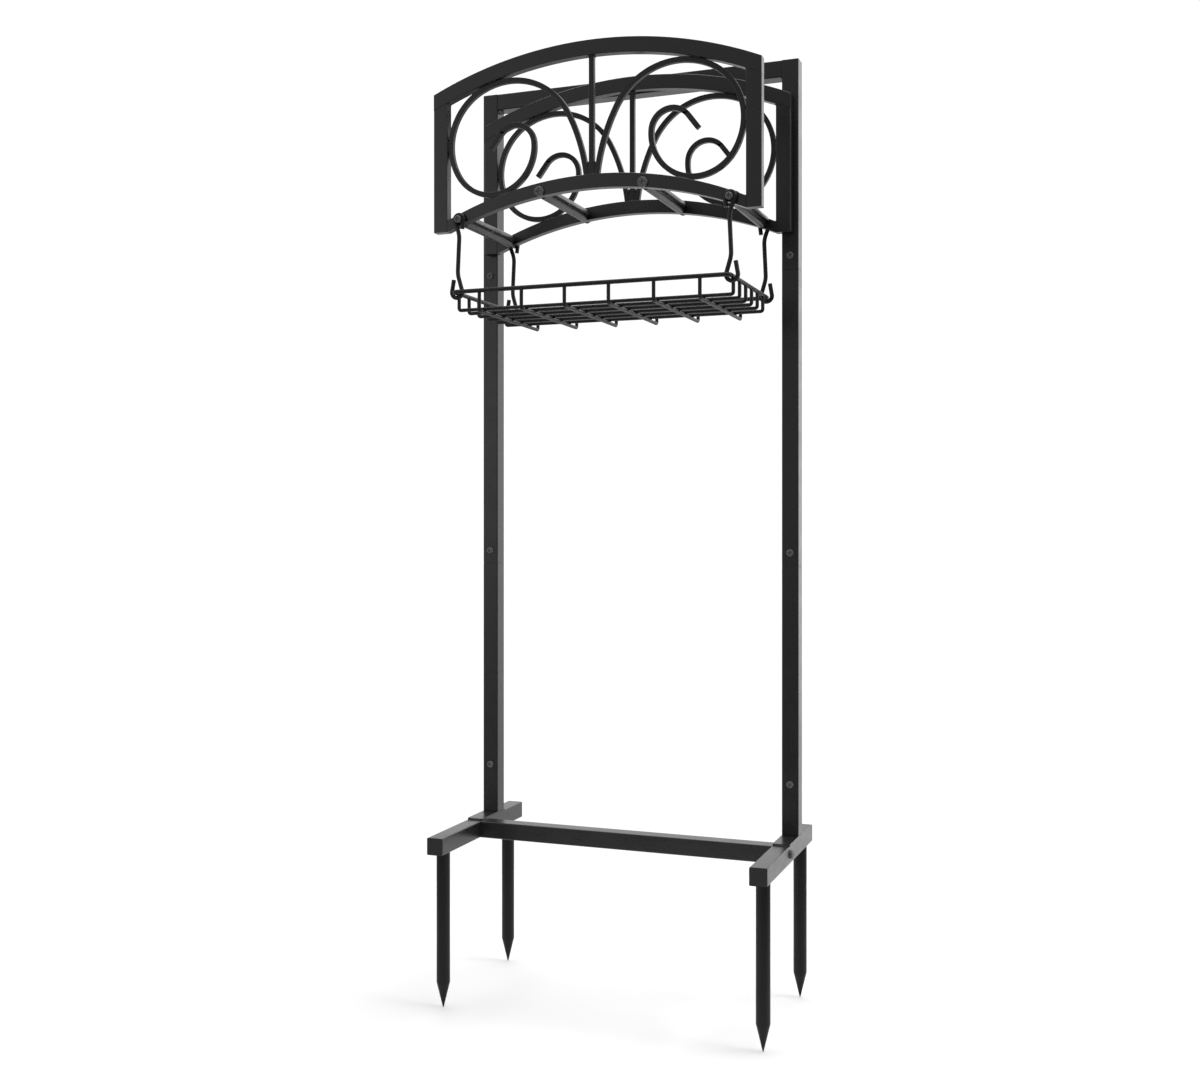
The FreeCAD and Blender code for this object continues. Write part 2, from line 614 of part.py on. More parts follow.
def hook_bolts():
    items = []
    stand = HOOK_WIRE + 2.0 * HOOK_CLEARANCE
    length = PANEL_THICKNESS + BAR_SCREW_DEPTH
    for side in (-1, 1):
        front = point(side * OUTER_BAR_X, FRONT_PANEL_Y - stand, OUTER_BAR_Z)
        rear = point(side * OUTER_BAR_X, POST_FRONT_Y + stand, OUTER_BAR_Z)
        items.append(screw(HOOK_HEAD_RADIUS, HOOK_HEAD, BAR_SCREW_RADIUS, length, front, Y_AXIS,
                           stand, SHOULDER_RADIUS))
        items.append(screw(HOOK_HEAD_RADIUS, HOOK_HEAD, BAR_SCREW_RADIUS, length, rear, Y_AXIS.negative(),
                           stand, SHOULDER_RADIUS))
    return group(items)


def panel_bolts():
    items = []
    for side in (-1, 1):
        for z in PANEL_BOLT_Z:
            seat = point(side * PANEL_BOLT_X, POST_FRONT_Y + TUBE, z)
            items.append(screw(PANEL_HEAD_RADIUS, PANEL_HEAD, PANEL_BOLT_RADIUS,
                               TUBE + PANEL_BOLT_DEPTH, seat, Y_AXIS.negative()))
    return group(items)


def build():
    nodes = {}
    for name, side in (("left", -1), ("right", 1)):
        nodes["foot_" + name] = foot(side)
        nodes["stake_front_" + name] = stake(side * POST_X, STAKE_FRONT_Y)
        nodes["stake_rear_" + name] = stake(side * POST_X, STAKE_REAR_Y)
        nodes["base_plate_" + name] = base_plate(side)
        nodes["base_stub_" + name] = sleeve(side, POST_BOTTOM_Z, STUB_TOP_Z, LOW_SCREW_Z)
        middle_screw = MIDDLE_SEAM_Z + SCREW_ABOVE_SEAM
        top_screw = TOP_SEAM_Z + SCREW_ABOVE_SEAM
        nodes["post_lower_" + name] = post_section(side, POST_BOTTOM_Z, MIDDLE_SEAM_Z, [LOW_SCREW_Z])
        nodes["post_upper_" + name] = post_section(side, MIDDLE_SEAM_Z, TOP_SEAM_Z, [middle_screw])
        for place, seam, screw_z in (("middle", MIDDLE_SEAM_Z, middle_screw), ("top", TOP_SEAM_Z, top_screw)):
            low = seam - SLEEVE_HALF_LENGTH
            high = seam + SLEEVE_HALF_LENGTH
            nodes["sleeve_" + place + "_" + name] = sleeve(side, low, high, screw_z)
        nodes["frame_leg_" + name] = frame_leg(side)
        nodes["hose_rod_inner_" + name] = hose_rod(side * INNER_BAR_X, INNER_BAR_Z)
        nodes["hose_rod_outer_" + name] = hose_rod(side * OUTER_BAR_X, OUTER_BAR_Z)
        nodes["hose_saddle_inner_" + name] = hose_saddle(side * INNER_BAR_X, INNER_BAR_Z)
        nodes["hose_saddle_outer_" + name] = hose_saddle(side * OUTER_BAR_X, OUTER_BAR_Z)
    caps = []
    for side in (-1, 1):
        caps.append(foot_cap(side, FOOT_FRONT_Y, 1))
        caps.append(foot_cap(side, FOOT_REAR_Y, -1))
    nodes["foot_end_caps"] = group(caps)
    nodes["base_crossbar"] = base_crossbar()
    nodes["frame_crossbar"] = frame_crossbar()
    for place, y0 in (("front", FRONT_PANEL_Y), ("rear", REAR_PANEL_Y)):
        bolted = place == "rear"
        nodes[place + "_upright_left"] = upright(-1, y0, bolted)
        nodes[place + "_upright_right"] = upright(1, y0, bolted)
        nodes[place + "_top_arch"] = top_arch(y0)
        nodes[place + "_hose_arch"] = hose_arch(y0)
        nodes[place + "_centre_bar"] = centre_bar(y0)
        right = scroll(y0)
        nodes[place + "_scroll_right"] = right
        nodes[place + "_scroll_left"] = mirrored(right)
    for place, y in (("front", FRONT_HOOK_Y), ("rear", REAR_HOOK_Y)):
        right = hook(y)
        nodes["hook_" + place + "_right"] = right
        nodes["hook_" + place + "_left"] = mirrored(right)
    rim = basket_rim()
    nodes["basket_rim"] = rim
    nodes["basket_long_wires"] = long_wires(rim)
    nodes["basket_cross_wires"] = cross_wires(rim)
    nodes["post_screws"] = post_screws()
    nodes["foot_screws"] = foot_screws()
    nodes["bar_screws"] = bar_screws()
    nodes["hook_bolts"] = hook_bolts()
    nodes["panel_bolts"] = panel_bolts()
    return nodes


os.makedirs("parts", exist_ok=True)
for node, shape in build().items():
    shape.exportStep("parts/" + node + ".step")
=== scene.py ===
import json
import math
import random

import bpy
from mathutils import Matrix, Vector
from mathutils.bvhtree import BVHTree


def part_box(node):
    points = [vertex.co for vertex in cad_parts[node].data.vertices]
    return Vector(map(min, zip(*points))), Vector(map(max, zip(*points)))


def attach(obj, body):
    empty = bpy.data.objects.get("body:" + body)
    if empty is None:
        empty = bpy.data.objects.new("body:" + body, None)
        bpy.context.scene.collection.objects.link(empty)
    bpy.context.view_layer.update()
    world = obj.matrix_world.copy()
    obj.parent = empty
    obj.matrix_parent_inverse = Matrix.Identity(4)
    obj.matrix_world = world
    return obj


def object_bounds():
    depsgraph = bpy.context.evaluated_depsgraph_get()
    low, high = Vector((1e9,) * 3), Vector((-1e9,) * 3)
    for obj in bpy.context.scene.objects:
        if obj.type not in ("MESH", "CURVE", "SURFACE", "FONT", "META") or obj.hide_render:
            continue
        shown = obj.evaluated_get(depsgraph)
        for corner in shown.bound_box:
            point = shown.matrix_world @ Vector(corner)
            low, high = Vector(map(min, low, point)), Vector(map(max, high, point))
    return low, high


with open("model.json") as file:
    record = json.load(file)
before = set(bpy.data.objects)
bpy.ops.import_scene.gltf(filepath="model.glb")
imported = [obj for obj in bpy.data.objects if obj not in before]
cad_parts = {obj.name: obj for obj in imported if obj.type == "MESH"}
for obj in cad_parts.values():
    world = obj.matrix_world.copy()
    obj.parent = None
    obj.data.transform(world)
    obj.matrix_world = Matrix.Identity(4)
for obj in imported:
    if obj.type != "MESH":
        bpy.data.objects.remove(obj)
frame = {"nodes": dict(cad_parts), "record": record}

# Looks for a black powder-coated garden hose holder: weld beads, coats and studio.
# Metres, in the frame's own axes: X is the width, Y runs to the rear, Z is up.

CAD_LOW, CAD_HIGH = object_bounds()
MM = 0.001

PANELS = ("front", "rear")
SIDES = ("left", "right")
BAR_ROWS = ("inner", "outer")

# Driving sizes of the arched panels, as in the CAD source
TOP_ARCH_RADIUS = 0.490
TOP_ARCH_DEPTH = 0.0172
HOSE_ARCH_RADIUS = 0.435

# The basket's mesh
MESH_RADIUS = 2.1 * MM
LONG_WIRES = 6
CROSS_WIRES = 6

# A weld bead's make: spacing of its rings, ripples, unevenness, rounded tips and sideways drift
BEAD_STEP = 0.45 * MM
BEAD_SIDES = 10
RIPPLE_PITCH = 1.7 * MM
RIPPLE_DEPTH = 0.13
UNEVENNESS = 0.04
TIP_SHARE = 0.02
DRIFT_SHARE = 0.1
DRIFT_RIPPLES = 3.1
STEEP = 0.9

# Bead radii, and how far each kind runs either way from its middle
CORNER_BEAD = 1.6 * MM
THIN_BEAD = 1.1 * MM
SCROLL_BEAD = 1.5 * MM
SCROLL_BEAD_HALF = 6.0 * MM
TACK_BEAD = 0.9 * MM
TACK_HALF = 3.0 * MM
TACK_SHARES = (0.04, 0.5, 0.96)
SPOT_BEAD = 1.0 * MM
SPOT_HALF = 1.4 * MM

# Where beads lie on what they join
ACROSS_INSET_SHARE = 0.6
TOUCHING = 0.05 * MM
FOOT_ZONE = 0.05
FOOT_REACH = 4.0 * MM
FOOT_DROP = 0.3 * MM
BAR_HEAD_DROP = 0.3 * MM
BAR_FOOT_RISE = 0.2 * MM
CROSSBAR_INSET = 0.3 * MM

# Filled corner between a centre bar's foot and the scrolls beside it
WEDGE_BEAD = 1.25 * MM
WEDGE_HEIGHT = 15.0 * MM
WEDGE_LEAN = 0.9 * MM
WEDGE_INSET = 0.9 * MM

# Bead round each mesh wire where it meets the rim
RING_BEAD = 0.62 * MM
RING_INSET = 0.35 * MM
RING_RISE = 0.35 * MM
RING_STEPS = 20

# Fixed seeds of the beads' unevenness
PANEL_SEED = 11
FRAME_SEED = 21
SADDLE_SEED = 31
BASKET_SEED = 41

# Softened edges: the width of bevel asked for in each material slot. Blender narrows a bevel that
# would overlap itself, on some nodes to almost nothing.
SOFT_EDGES = {
    "coated_tube": 0.5 * MM,
    "coated_panel": 0.15 * MM,
    "coated_scroll": 0.45 * MM,
    "coated_bar": 0.25 * MM,
    "coated_stake": 0.35 * MM,
    "end_cap": 0.4 * MM,
}
WELD_GAP = 0.004 * MM
EDGE_ANGLE = math.radians(38.0)
EDGE_SEGMENTS = 2
FLAT_WEIGHT = 80

# Linear colours
BLACK = (0.0100, 0.0100, 0.0108)
# A darker black than the frame's coat, on the stakes: painted shade near the ground
STAKE_SHADED_BLACK = (0.007, 0.007, 0.0075)
BAR_BLACK = (0.014, 0.014, 0.0145)
WIRE_BLACK = (0.0075, 0.0075, 0.008)
RUBBED = (0.13, 0.13, 0.135)
BAR_RUBBED = (0.16, 0.16, 0.165)
CAP_BLACK = (0.006, 0.006, 0.0063)
CAP_SCUFFED = (0.09, 0.09, 0.09)
OXIDE = (0.11, 0.11, 0.114)
# Lighter colour on the screw heads' edges: a painted highlight
OXIDE_PAINTED_HIGHLIGHT = (0.42, 0.42, 0.43)
ZINC = (0.35, 0.35, 0.36)
FLOOR_TONES = ((0.90, 0.90, 0.90), (0.93, 0.93, 0.93))
OPAQUE = 1.0

# Gloss of a coat: its specular level and the weight of the clear layer over it
SATIN = (0.5, 0.10)
SCROLL_GLOSS = (0.42, 0.0)
BAR_GLOSS = (0.46, 0.06)
STAKE_GLOSS = (0.20, 0.0)
WIRE_GLOSS = (0.40, 0.0)
CLEAR_ROUGHNESS = 0.28
COAT_IOR = 1.5
PLASTIC_IOR = 1.49

# Stretch of drawn streaks along one axis
EVEN = (1.0, 1.0, 1.0)
ALONG_X = (0.25, 6.0, 6.0)
ALONG_Y = (6.0, 0.25, 6.0)
ALONG_Z = (6.0, 6.0, 0.25)
TURNED = (1.0, 9.0, 1.0)

# Spans that a noise or a mask is read over
WHOLE = (0.0, 1.0)
MIDDLE = (0.3, 0.7)

# Studio: floor, lamps and camera
FLOOR_RADIUS = 0.62
FLOOR_STEPS = 96
FLOOR_GAP = 0.4 * MM
KEY_LIGHT = {"place": (2.3, 0.4, 2.4), "aim": (0.0, 0.0, 0.5), "size": 1.6, "power": 30.0}
OVERHEAD_LIGHT = {"place": (0.0, 0.3, 3.0), "aim": (0.0, 0.0, 0.0), "size": 2.6, "power": 45.0}
CAMERA_PLACE = (0.55665, -1.53549, 0.57519)
CAMERA_TURN = math.radians(20.58)
LEVEL = math.radians(90.0)
SENSOR_WIDTH = 36.0
LENS = 41.05
SHIFT = (-0.0053, -0.0157)
CLIP_START = 0.05

# The world's brightness: pairs of levels, and the span of X, Y or Z that they run over
AMBIENT_BY_Y = ((0.37, 1.0), (-0.35, 0.45))
GLOW_RISE_BY_X = ((0.0, 0.85), (-0.12, 0.18))
GLOW_FALL_BY_X = ((1.0, 0.0), (0.22, 0.44))
GLOW_BY_Y = ((0.0, 1.0), (0.35, 0.85))
CARD_BY_X = ((1.3, 0.0), (-0.52, -0.31))
CARD_RISE_BY_Z = ((0.0, 1.0), (-0.16, 0.0))
CARD_FALL_BY_Z = ((1.0, 0.15), (0.08, 0.34))
CARD_BY_Y = ((1.0, 0.0), (-0.6, -0.2))
LOW_BY_Z = ((0.40, 1.0), (-0.16, 0.0))
LOW_LIFT_BY_Y = ((0.0, 0.27), (0.3, 0.85))
SEEN_LEVEL = 1.05
WHITE = (1.0, 1.0, 1.0, 1.0)


# ---------------------------------------------------------------- node graphs

class Graph:
    """A node tree, with one short call for each kind of node used here."""

    def __init__(self, tree):
        self.nodes = tree.nodes
        self.links = tree.links

    def coordinates(self, stretch=EVEN):
        source = self.nodes.new("ShaderNodeTexCoord")
        mapping = self.nodes.new("ShaderNodeMapping")
        mapping.inputs["Scale"].default_value = stretch
        self.links.new(source.outputs["Object"], mapping.inputs["Vector"])
        return mapping.outputs["Vector"]

    def noise(self, vector, scale, detail=3.0, roughness=0.55):
        texture = self.nodes.new("ShaderNodeTexNoise")
        texture.inputs["Scale"].default_value = scale
        texture.inputs["Detail"].default_value = detail
        texture.inputs["Roughness"].default_value = roughness
        self.links.new(vector, texture.inputs["Vector"])
        return texture.outputs["Fac"]

    def cells(self, vector, scale):
        texture = self.nodes.new("ShaderNodeTexVoronoi")
        texture.inputs["Scale"].default_value = scale
        self.links.new(vector, texture.inputs["Vector"])
        return texture.outputs["Distance"]

    def spread(self, value, levels, span=MIDDLE):
        """Reads the value over a span, and gives the two levels at its ends."""
        remap = self.nodes.new("ShaderNodeMapRange")
        remap.inputs["From Min"].default_value = span[0]
        remap.inputs["From Max"].default_value = span[1]
        remap.inputs["To Min"].default_value = levels[0]
        remap.inputs["To Max"].default_value = levels[1]
        self.links.new(value, remap.inputs["Value"])
        return remap.outputs["Result"]

    def combine(self, operation, a, b):
        node = self.nodes.new("ShaderNodeMath")
        node.operation = operation
        for socket, value in zip(node.inputs, (a, b)):
            if isinstance(value, float):
                socket.default_value = value
            else:
                self.links.new(value, socket)
        return node.outputs["Value"]

    def blend(self, factor, a, b):
        """Mixes two colours, each a tuple or another node's output."""
        mix = self.nodes.new("ShaderNodeMix")
        mix.data_type = "RGBA"
        self.links.new(factor, mix.inputs["Factor"])
        for name, value in (("A", a), ("B", b)):
            socket = [s for s in mix.inputs if s.name == name and s.type == "RGBA"][0]
            if isinstance(value, tuple):
                socket.default_value = (*value, OPAQUE)
            else:
                self.links.new(value, socket)
        return [s for s in mix.outputs if s.type == "RGBA"][0]

    def bump(self, height, distance, strength, under=None):
        node = self.nodes.new("ShaderNodeBump")
        node.inputs["Distance"].default_value = distance
        node.inputs["Strength"].default_value = strength
        self.links.new(height, node.inputs["Height"])
        if under is not None:
            self.links.new(under, node.inputs["Normal"])
        return node.outputs["Normal"]

    def edges(self, radius, span, samples=4):
        """1 along sharp edges and 0 on the flats; rubbed coat on coats and caps, painted highlight on
        screws.
        """
        rounded = self.nodes.new("ShaderNodeBevel")
        rounded.samples = samples
        rounded.inputs["Radius"].default_value = radius
        true_normal = self.nodes.new("ShaderNodeNewGeometry")
        dot = self.nodes.new("ShaderNodeVectorMath")
        dot.operation = "DOT_PRODUCT"
        self.links.new(rounded.outputs["Normal"], dot.inputs[0])
        self.links.new(true_normal.outputs["Normal"], dot.inputs[1])
        away = self.combine("SUBTRACT", 1.0, dot.outputs["Value"])
        return self.spread(away, WHOLE, span)


def new_material(name):
    material = bpy.data.materials.new(name)
    material.use_nodes = True
    graph = Graph(material.node_tree)
    return material, graph, graph.nodes["Principled BSDF"].inputs


def lighter(colour, gain):
    return tuple(c * gain for c in colour)


# ---------------------------------------------------------------- materials

def coated_steel(name, base, rubbed, peel, peel_height, rough, wear, gloss, stretch=EVEN):
    """Satin powder coat: orange peel, drawn streaks, cloudy tone and rubbed edges."""
    material, graph, shader = new_material(name)
    links = graph.links
    vector = graph.coordinates()
    drawn = graph.coordinates(stretch)
    clouds = graph.spread(graph.noise(vector, scale=14.0, detail=4.0), WHOLE)
    grain = graph.noise(vector, scale=peel, detail=2.0, roughness=0.5)
    fine = graph.noise(vector, scale=peel * 3.1, detail=2.0, roughness=0.6)
    streaks = graph.noise(drawn, scale=260.0, roughness=0.6)

    colour = graph.blend(clouds, base, lighter(base, gain=1.16))
    dust = graph.noise(vector, scale=1700.0, detail=1.0)
    specks = graph.spread(dust, levels=(0.0, 0.16), span=(0.68, 0.82))
    colour = graph.blend(specks, colour, lighter(base, gain=2.1))
    edges = graph.edges(radius=0.7 * MM, span=(0.1, 0.4))
    handled = graph.noise(vector, scale=60.0, detail=4.0)
    patches = graph.spread(handled, levels=(0.0, wear), span=(0.42, 0.66))
    worn = graph.combine("MULTIPLY", edges, patches)
    links.new(graph.blend(worn, colour, rubbed), shader["Base Color"])

    roughness = graph.spread(graph.noise(vector, scale=38.0, detail=5.0), levels=rough)
    roughness = graph.combine("ADD", roughness, graph.spread(streaks, levels=(-0.03, 0.03)))
    polish = -0.1
    roughness = graph.combine("ADD", roughness, graph.combine("MULTIPLY", worn, polish))
    links.new(roughness, shader["Roughness"])

    shader["IOR"].default_value = COAT_IOR
    shader["Specular IOR Level"].default_value = gloss[0]
    shader["Coat Weight"].default_value = gloss[1]
    shader["Coat Roughness"].default_value = CLEAR_ROUGHNESS
    soft = graph.bump(streaks, distance=0.02 * MM, strength=0.12)
    peeled = graph.bump(grain, distance=peel_height, strength=0.3, under=soft)
    stippled = graph.bump(fine, distance=peel_height * 0.3, strength=0.25, under=peeled)
    links.new(stippled, shader["Normal"])
    return material


def moulded_plastic(name, base, scuffed):
    """Push-in end cap: fine spark-eroded stipple with faint flow marks."""
    material, graph, shader = new_material(name)
    links = graph.links
    vector = graph.coordinates()
    flow = graph.spread(graph.noise(vector, scale=90.0, detail=4.0), WHOLE)
    stipple = graph.noise(vector, scale=2600.0, detail=2.0, roughness=0.6)
    colour = graph.blend(flow, base, lighter(base, gain=1.35))
    handled = graph.noise(vector, scale=420.0, detail=5.0)
    scuffs = graph.spread(handled, levels=(0.0, 0.5), span=(0.6, 0.75))
    edges = graph.edges(radius=0.6 * MM, span=(0.05, 0.3))
    edges = graph.combine("MULTIPLY", edges, scuffs)
    links.new(graph.blend(edges, colour, scuffed), shader["Base Color"])
    links.new(graph.spread(flow, levels=(0.42, 0.55), span=WHOLE), shader["Roughness"])
    shader["IOR"].default_value = PLASTIC_IOR
    links.new(graph.bump(stipple, distance=0.03 * MM, strength=0.6), shader["Normal"])
    return material


def black_oxide(name, base, bright):
    """Pan-head screws: dark oxide over turned steel, with a painted highlight on the head's rim and
    recess.
    """
    material, graph, shader = new_material(name)
    links = graph.links
    vector = graph.coordinates()
    mottle = graph.spread(graph.noise(vector, scale=420.0, detail=4.0), WHOLE)
    scratches = graph.noise(graph.coordinates(TURNED), scale=900.0)
    colour = graph.blend(mottle, base, lighter(base, gain=1.7))
    # the head's edges get a lighter colour: a painted highlight on the rim and recess
    edges = graph.edges(radius=0.35 * MM, span=(0.04, 0.22))
    links.new(graph.blend(edges, colour, bright), shader["Base Color"])
    shader["Metallic"].default_value = 0.2
    shader["Specular IOR Level"].default_value = 0.3
    links.new(graph.spread(scratches, levels=(0.42, 0.56)), shader["Roughness"])
    links.new(graph.bump(scratches, distance=0.02 * MM, strength=0.4), shader["Normal"])
    return material


def zinc_plate(name, base):
    """Inner sleeves: zinc with crystal spangle."""
    material, graph, shader = new_material(name)
    links = graph.links
    vector = graph.coordinates()
    spangle = graph.spread(graph.cells(vector, scale=220.0), WHOLE, span=(0.1, 0.7))
    links.new(graph.blend(spangle, base, lighter(base, gain=1.5)), shader["Base Color"])
    shader["Metallic"].default_value = 1.0
    links.new(graph.spread(spangle, levels=(0.3, 0.5), span=WHOLE), shader["Roughness"])
    grain = graph.noise(vector, scale=1500.0)
    links.new(graph.bump(grain, distance=0.02 * MM, strength=0.3), shader["Normal"])
    return material


def pale_floor(name):
    material, graph, shader = new_material(name)
    links = graph.links
    vector = graph.coordinates()
    tone = graph.spread(graph.noise(vector, scale=3.0, detail=5.0), WHOLE)
    links.new(graph.blend(tone, *FLOOR_TONES), shader["Base Color"])
    shader["Roughness"].default_value = 0.75
    grain = graph.noise(vector, scale=180.0)
    links.new(graph.bump(grain, distance=0.1 * MM, strength=0.2), shader["Normal"])
    return material


def tube_coat(name, stretch):
    return coated_steel(name, BLACK, RUBBED, peel=720.0, peel_height=0.05 * MM,
                        rough=(0.26, 0.33), wear=0.5, gloss=SATIN, stretch=stretch)


def make_materials():
    """Coats by material slot, and by node for the tubes that lie level."""
    level_tube = tube_coat("rail_coat", ALONG_X)
    foot_tube = tube_coat("foot_coat", ALONG_Y)
    coats = {
        "coated_tube": tube_coat("tube_coat", ALONG_Z),
        "base_crossbar": level_tube,
        "frame_crossbar": level_tube,
        "foot_left": foot_tube,
        "foot_right": foot_tube,
        "end_cap": moulded_plastic("cap_plastic", CAP_BLACK, CAP_SCUFFED),
        "inner_sleeve": zinc_plate("sleeve_zinc", ZINC),
        "fastener": black_oxide("screw_oxide", OXIDE, OXIDE_PAINTED_HIGHLIGHT),
    }
    # The stakes get a darker copy of the coat: painted shade near the ground
    coats["coated_stake"] = coated_steel(
        "stake_coat", STAKE_SHADED_BLACK, RUBBED, peel=640.0, peel_height=0.06 * MM,
        rough=(0.36, 0.46), wear=0.8, gloss=STAKE_GLOSS, stretch=ALONG_Z)
    coats["coated_panel"] = coated_steel(
        "panel_coat", BLACK, RUBBED, peel=780.0, peel_height=0.05 * MM,
        rough=(0.27, 0.34), wear=0.5, gloss=SATIN)
    coats["coated_scroll"] = coated_steel(
        "scroll_coat", BLACK, RUBBED, peel=900.0, peel_height=0.04 * MM,
        rough=(0.32, 0.40), wear=0.45, gloss=SCROLL_GLOSS)
    coats["coated_bar"] = coated_steel(
        "bar_coat", BAR_BLACK, BAR_RUBBED, peel=760.0, peel_height=0.05 * MM,
        rough=(0.32, 0.42), wear=0.7, gloss=BAR_GLOSS, stretch=ALONG_Y)
    coats["coated_wire"] = coated_steel(
        "wire_coat", WIRE_BLACK, RUBBED, peel=1100.0, peel_height=0.03 * MM,
        rough=(0.40, 0.50), wear=0.35, gloss=WIRE_GLOSS)
    return coats


def paint_nodes(coats):
    """Each node's own coat if it has one, and otherwise its slot's."""
    for row in frame["record"]["subparts"]:
        coat = coats.get(row["node"], coats[row["material_slot"]])
        for place in frame["nodes"][row["node"]].material_slots:
            place.material = coat


# ---------------------------------------------------------------- softened edges

def soften(node, width):
    """Rounds a CAD node's hard edges with modifiers and shades it smooth, and keeps its vertices."""
    node.data.shade_smooth()
    close = node.modifiers.new("close", "WELD")
    close.merge_threshold = WELD_GAP
    bevel = node.modifiers.new("edges", "BEVEL")
    bevel.width = width
    bevel.segments = EDGE_SEGMENTS
    bevel.limit_method = "ANGLE"
    bevel.angle_limit = EDGE_ANGLE
    flats = node.modifiers.new("flats", "WEIGHTED_NORMAL")
    flats.weight = FLAT_WEIGHT
    flats.keep_sharp = False


def soften_all():
    for row in frame["record"]["subparts"]:
        if row["material_slot"] in SOFT_EDGES:
            soften(frame["nodes"][row["node"]], SOFT_EDGES[row["material_slot"]])


# ---------------------------------------------------------------- weld beads

def resampled(points, closed):
    """Points spaced evenly along a path, with the distance run at each."""
    corners = list(points) + ([points[0]] if closed else [])
    spots = []
    run = 0.0
    for a, b in zip(corners, corners[1:]):
        length = (b - a).length
        count = max(2, round(length / BEAD_STEP))
        for i in range(count):
            spots.append((a.lerp(b, i / count), run + length * i / count))
        run = run + length
    if not closed:
        spots.append((corners[-1], run))
    return spots, run


def add_bead(verts, faces, points, radius, rng, closed=False):
    """A rippled bead along a path, with rounded ends on an open one."""
    spots, total = resampled(points, closed)
    count = len(spots)
    first = len(verts)
    lean = rng.uniform(0.0, math.tau)
    for i, (spot, run) in enumerate(spots):
        ahead = spots[(i + 1) % count][0] if closed or i + 1 < count else spot
        behind = spots[i - 1][0] if closed or i > 0 else spot
        along = (ahead - behind).normalized()
        helper = Vector((0.0, 0.0, 1.0)) if abs(along.z) < STEEP else Vector((1.0, 0.0, 0.0))
        u = along.cross(helper).normalized()
        v = along.cross(u)
        phase = (run / RIPPLE_PITCH) % 1.0
        size = radius * (1.0 - RIPPLE_DEPTH * phase + rng.uniform(-UNEVENNESS, UNEVENNESS))
        if not closed:
            end = min(run, total - run) / radius
            size = size * math.sqrt(max(TIP_SHARE, 1.0 - max(0.0, 1.0 - end) ** 2))
        sway = math.sin(run / (DRIFT_RIPPLES * RIPPLE_PITCH) + lean)
        drift = u * (radius * DRIFT_SHARE * sway)
        for k in range(BEAD_SIDES):
            turn = math.tau * k / BEAD_SIDES
            verts.append(spot + drift + (u * math.cos(turn) + v * math.sin(turn)) * size)
    last = count if closed else count - 1
    for i in range(last):
        here = first + i * BEAD_SIDES
        there = first + ((i + 1) % count) * BEAD_SIDES
        for k in range(BEAD_SIDES):
            after = (k + 1) % BEAD_SIDES
            faces.append((here + k, here + after, there + after, there + k))
    if not closed:
        end = first + (count - 1) * BEAD_SIDES
        faces.append(tuple(first + k for k in reversed(range(BEAD_SIDES))))
        faces.append(tuple(end + k for k in range(BEAD_SIDES)))


def weld_piece(name, runs, body, material, seed):
    """One object of many beads. Each run is (points, radius, closed)."""
    rng = random.Random(seed)
    verts = []
    faces = []
    for points, radius, closed in runs:
        add_bead(verts, faces, points, radius, rng, closed)
    mesh = bpy.data.meshes.new(name)
    mesh.from_pydata([tuple(v) for v in verts], [], faces)
    mesh.shade_smooth()
    mesh.materials.append(material)
    piece = bpy.data.objects.new(name, mesh)
    bpy.context.scene.collection.objects.link(piece)
    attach(piece, body)


def tree_of(node_name):
    mesh = frame["nodes"][node_name].data
    corners = [v.co.copy() for v in mesh.vertices]
    return BVHTree.FromPolygons(corners, [tuple(p.vertices) for p in mesh.polygons])


def closest(node_name, neighbour, keep):
    """Nearest spots of two nodes, over the first one's vertices that keep() accepts."""
    tree = tree_of(neighbour)
    best = None
    for vertex in frame["nodes"][node_name].data.vertices:
        if keep(vertex.co):
            spot, _, _, gap = tree.find_nearest(vertex.co)
            if spot is not None and (best is None or gap < best[2]):
                best = (vertex.co.copy(), spot, gap)
    return best[0], best[1]


def anywhere(spot):
    return True


def beyond_the_foot(spot):
    return abs(spot.x) > FOOT_ZONE


def at_the_foot(spot):
    return abs(spot.x) < FOOT_ZONE


def tangent_runs(scroll, neighbour, keep):
    """Beads on the front and rear of a scroll where it touches a neighbour side-on."""
    spot, other = closest(scroll, neighbour, keep)
    low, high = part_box(scroll)
    middle = (low.x + high.x) / 2.0
    gap = Vector((other.x - spot.x, 0.0, other.z - spot.z))
    outward = Vector((spot.x - middle, 0.0, 0.0)) if gap.length < TOUCHING else gap
    along = outward.normalized().cross(Vector((0.0, 1.0, 0.0)))
    centre = (spot + other) / 2.0
    runs = []
    for y in (low.y, high.y):
        start = Vector((centre.x, y, centre.z)) - along * SCROLL_BEAD_HALF
        end = Vector((centre.x, y, centre.z)) + along * SCROLL_BEAD_HALF
        runs.append(([start, end], SCROLL_BEAD, False))
    return runs


def loop_round(low, high, z):
    return [Vector((low.x, low.y, z)), Vector((high.x, low.y, z)),
            Vector((high.x, high.y, z)), Vector((low.x, high.y, z))]


def across(x, z, y0, y1, radius):
    """A bead from front to rear along a corner."""
    inset = radius * ACROSS_INSET_SHARE
    return ([Vector((x, y0 + inset, z)), Vector((x, y1 - inset, z))], radius, False)


